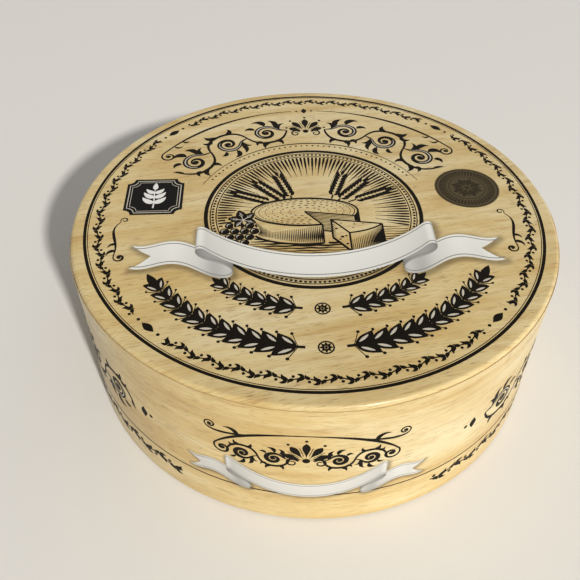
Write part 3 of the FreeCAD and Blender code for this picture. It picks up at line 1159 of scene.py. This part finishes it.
def print_the_top():
    """The top: rings and bands in black, light glints over them, then the ribbon, the seal and the plate."""
    light = []
    rules = [hoop((0, 0), 78.15, 1.05), hoop((0, 0), 76.8, 0.25)]
    for name, strips in (("rules", rules), ("sprig_band", outer_band()),
                         ("garlands", front_garlands(light) + side_flourishes()),
                         ("scrolls", upper_scrolls(light)), ("medallion", medallion(light))):
        inked("top_print_" + name, strips, on_top, black_ink)
    inked("top_print_glints", light, on_top, light_ink, glint_height)
    lay_ribbon("top_print_ribbon", on_top, flat_top)
    disc, dark = seal(56.0, 12.0, 11.5)
    inked("top_print_seal", disc, on_top, seal_ink)
    inked("top_print_seal_lines", dark, on_top, seal_dark_ink, glint_height)
    field, border, sprig = plate(-55.8, 11.0, 10.2)
    inked("top_print_plate", field, on_top, plate_ink)
    inked("top_print_plate_border", border, on_top, light_ink, glint_height)
    inked("top_print_plate_sprig", sprig, on_top, white_ink, glint_height)


def print_the_side():
    """The side: one rule all round, and on each half a crest, a ribbon, a frieze and two lengths of sprig."""
    light = []
    strips = [line((0, 15.7), (TAU * lower_wrap_outer, 15.7), 0.54, count=481)]
    for half in (0, 180):
        glints = []
        middle, quarter = np.radians((half, half + 90)) * lower_wrap_outer
        strips += shifted(side_emblem(), middle, 0) + shifted(side_frieze(glints), quarter, 0)
        light += shifted(glints, quarter, 0)
        for angle in (half + 50, half + 130):
            strips += shifted(sprig_band(41.5), np.radians(angle) * lower_wrap_outer, 10.2, 0, 1.45)
        # The side ribbon is dimmed as painted shade against the wall's stronger light.
        lay_ribbon(f"side_print_ribbon_{half}", on_side, flat_side, side_ribbon_scale, (middle, 35.0),
                   side_ribbon_painted_shade_scale)
    inked("side_print", strips, on_side, black_ink, columns=3)
    inked("side_print_glints", light, on_side, light_ink, glint_height, 3)


# The box

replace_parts(lid_label(), "lid_top_label")
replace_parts(lid_sleeve(), "lid_side_wrap")
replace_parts(base_sleeve(), "base_wrap")
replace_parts(base_label(), "base_bottom_label")
print_the_top()
print_the_side()
for node in ("lid_wall", "lid_top_board", "base_wall", "base_floor_board"):
    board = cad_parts[node]
    if not board.material_slots:
        board.data.materials.append(grey_board)
    for material_slot in board.material_slots:
        material_slot.material = grey_board


# Floor, light and camera

def make_floor():
    """Round pale floor, level with the underside of the box."""
    finish = Surface("floor_finish", 0.55, 0.3)
    finish.colour(linear(236, 233, 227))
    edge = unit(np.arange(0, 360, 5.0)) * 4000
    points = np.concatenate([edge, 0 * edge[:, :1]], axis=1)
    new_piece("floor", points, [list(range(len(edge)))], finish.material)


def make_world():
    """Pale surroundings for the eye and reflections. As light they are dimmer, brightest overhead
    and to the right."""
    world = bpy.data.worlds.new("studio")
    bpy.context.scene.world = world
    studio = Nodes(world)
    studio.tree.nodes.clear()
    rays = studio.add("LightPath")
    either = studio.add("Math", rays["Is Camera Ray"], rays["Is Glossy Ray"], operation="MAXIMUM")[0]
    seen = studio.add("Background", linear(224, 220, 210), 1.0)[0]
    sides = studio.add("SeparateXYZ", studio.add("TexCoord")["Generated"])
    level = studio.total(sides["X"], 0.42, studio.total(sides["Z"], 0.62, 0.12))
    fill = studio.add("Background", studio.ramp(level, (0.0, 0.0), (1.0, 1.0)), 0.55)[0]
    studio.add("OutputWorld", studio.add("MixShader", either, fill, seen)[0])


def aimed(name, data, place, ahead):
    """Lamp or camera at a place in mm, turned to look ahead."""
    thing = new_object(name, data)
    thing.location = place * MM
    thing.rotation_mode = "QUATERNION"
    thing.rotation_quaternion = ahead.to_track_quat("-Z", "Y")
    return thing


def make_lamp():
    """Round area lamp, far off to the front and right, that looks at the middle of the box."""
    light = bpy.data.lights.new("key_lamp", "AREA")
    light.shape = "DISK"
    light.size = 320 * MM
    light.energy = 404.0
    light.color = (1.0, 0.985, 0.955)
    away = Vector((0.402, -0.735, 0.546)).normalized()
    aimed("key_lamp", light, away * 6500 + Vector((0, 0, label_top / 2)), -away)


def make_camera():
    """Camera at the photograph's viewing angle: place, heading and tilt as fitted to its outline."""
    heading, tilt = -0.0410, math.radians(-44.68)
    data = bpy.data.cameras.new("camera")
    data.lens = 45.09
    data.sensor_width = 36.0
    data.clip_start = 0.01
    data.clip_end = 20.0
    ahead = Vector((math.sin(heading) * math.cos(tilt), math.cos(heading) * math.cos(tilt), math.sin(tilt)))
    bpy.context.scene.camera = aimed("camera", data, Vector((0.02, -197.17, 218.00)), ahead)


make_floor()
make_world()
make_lamp()
make_camera()
bpy.context.scene.view_settings.view_transform = "Standard"
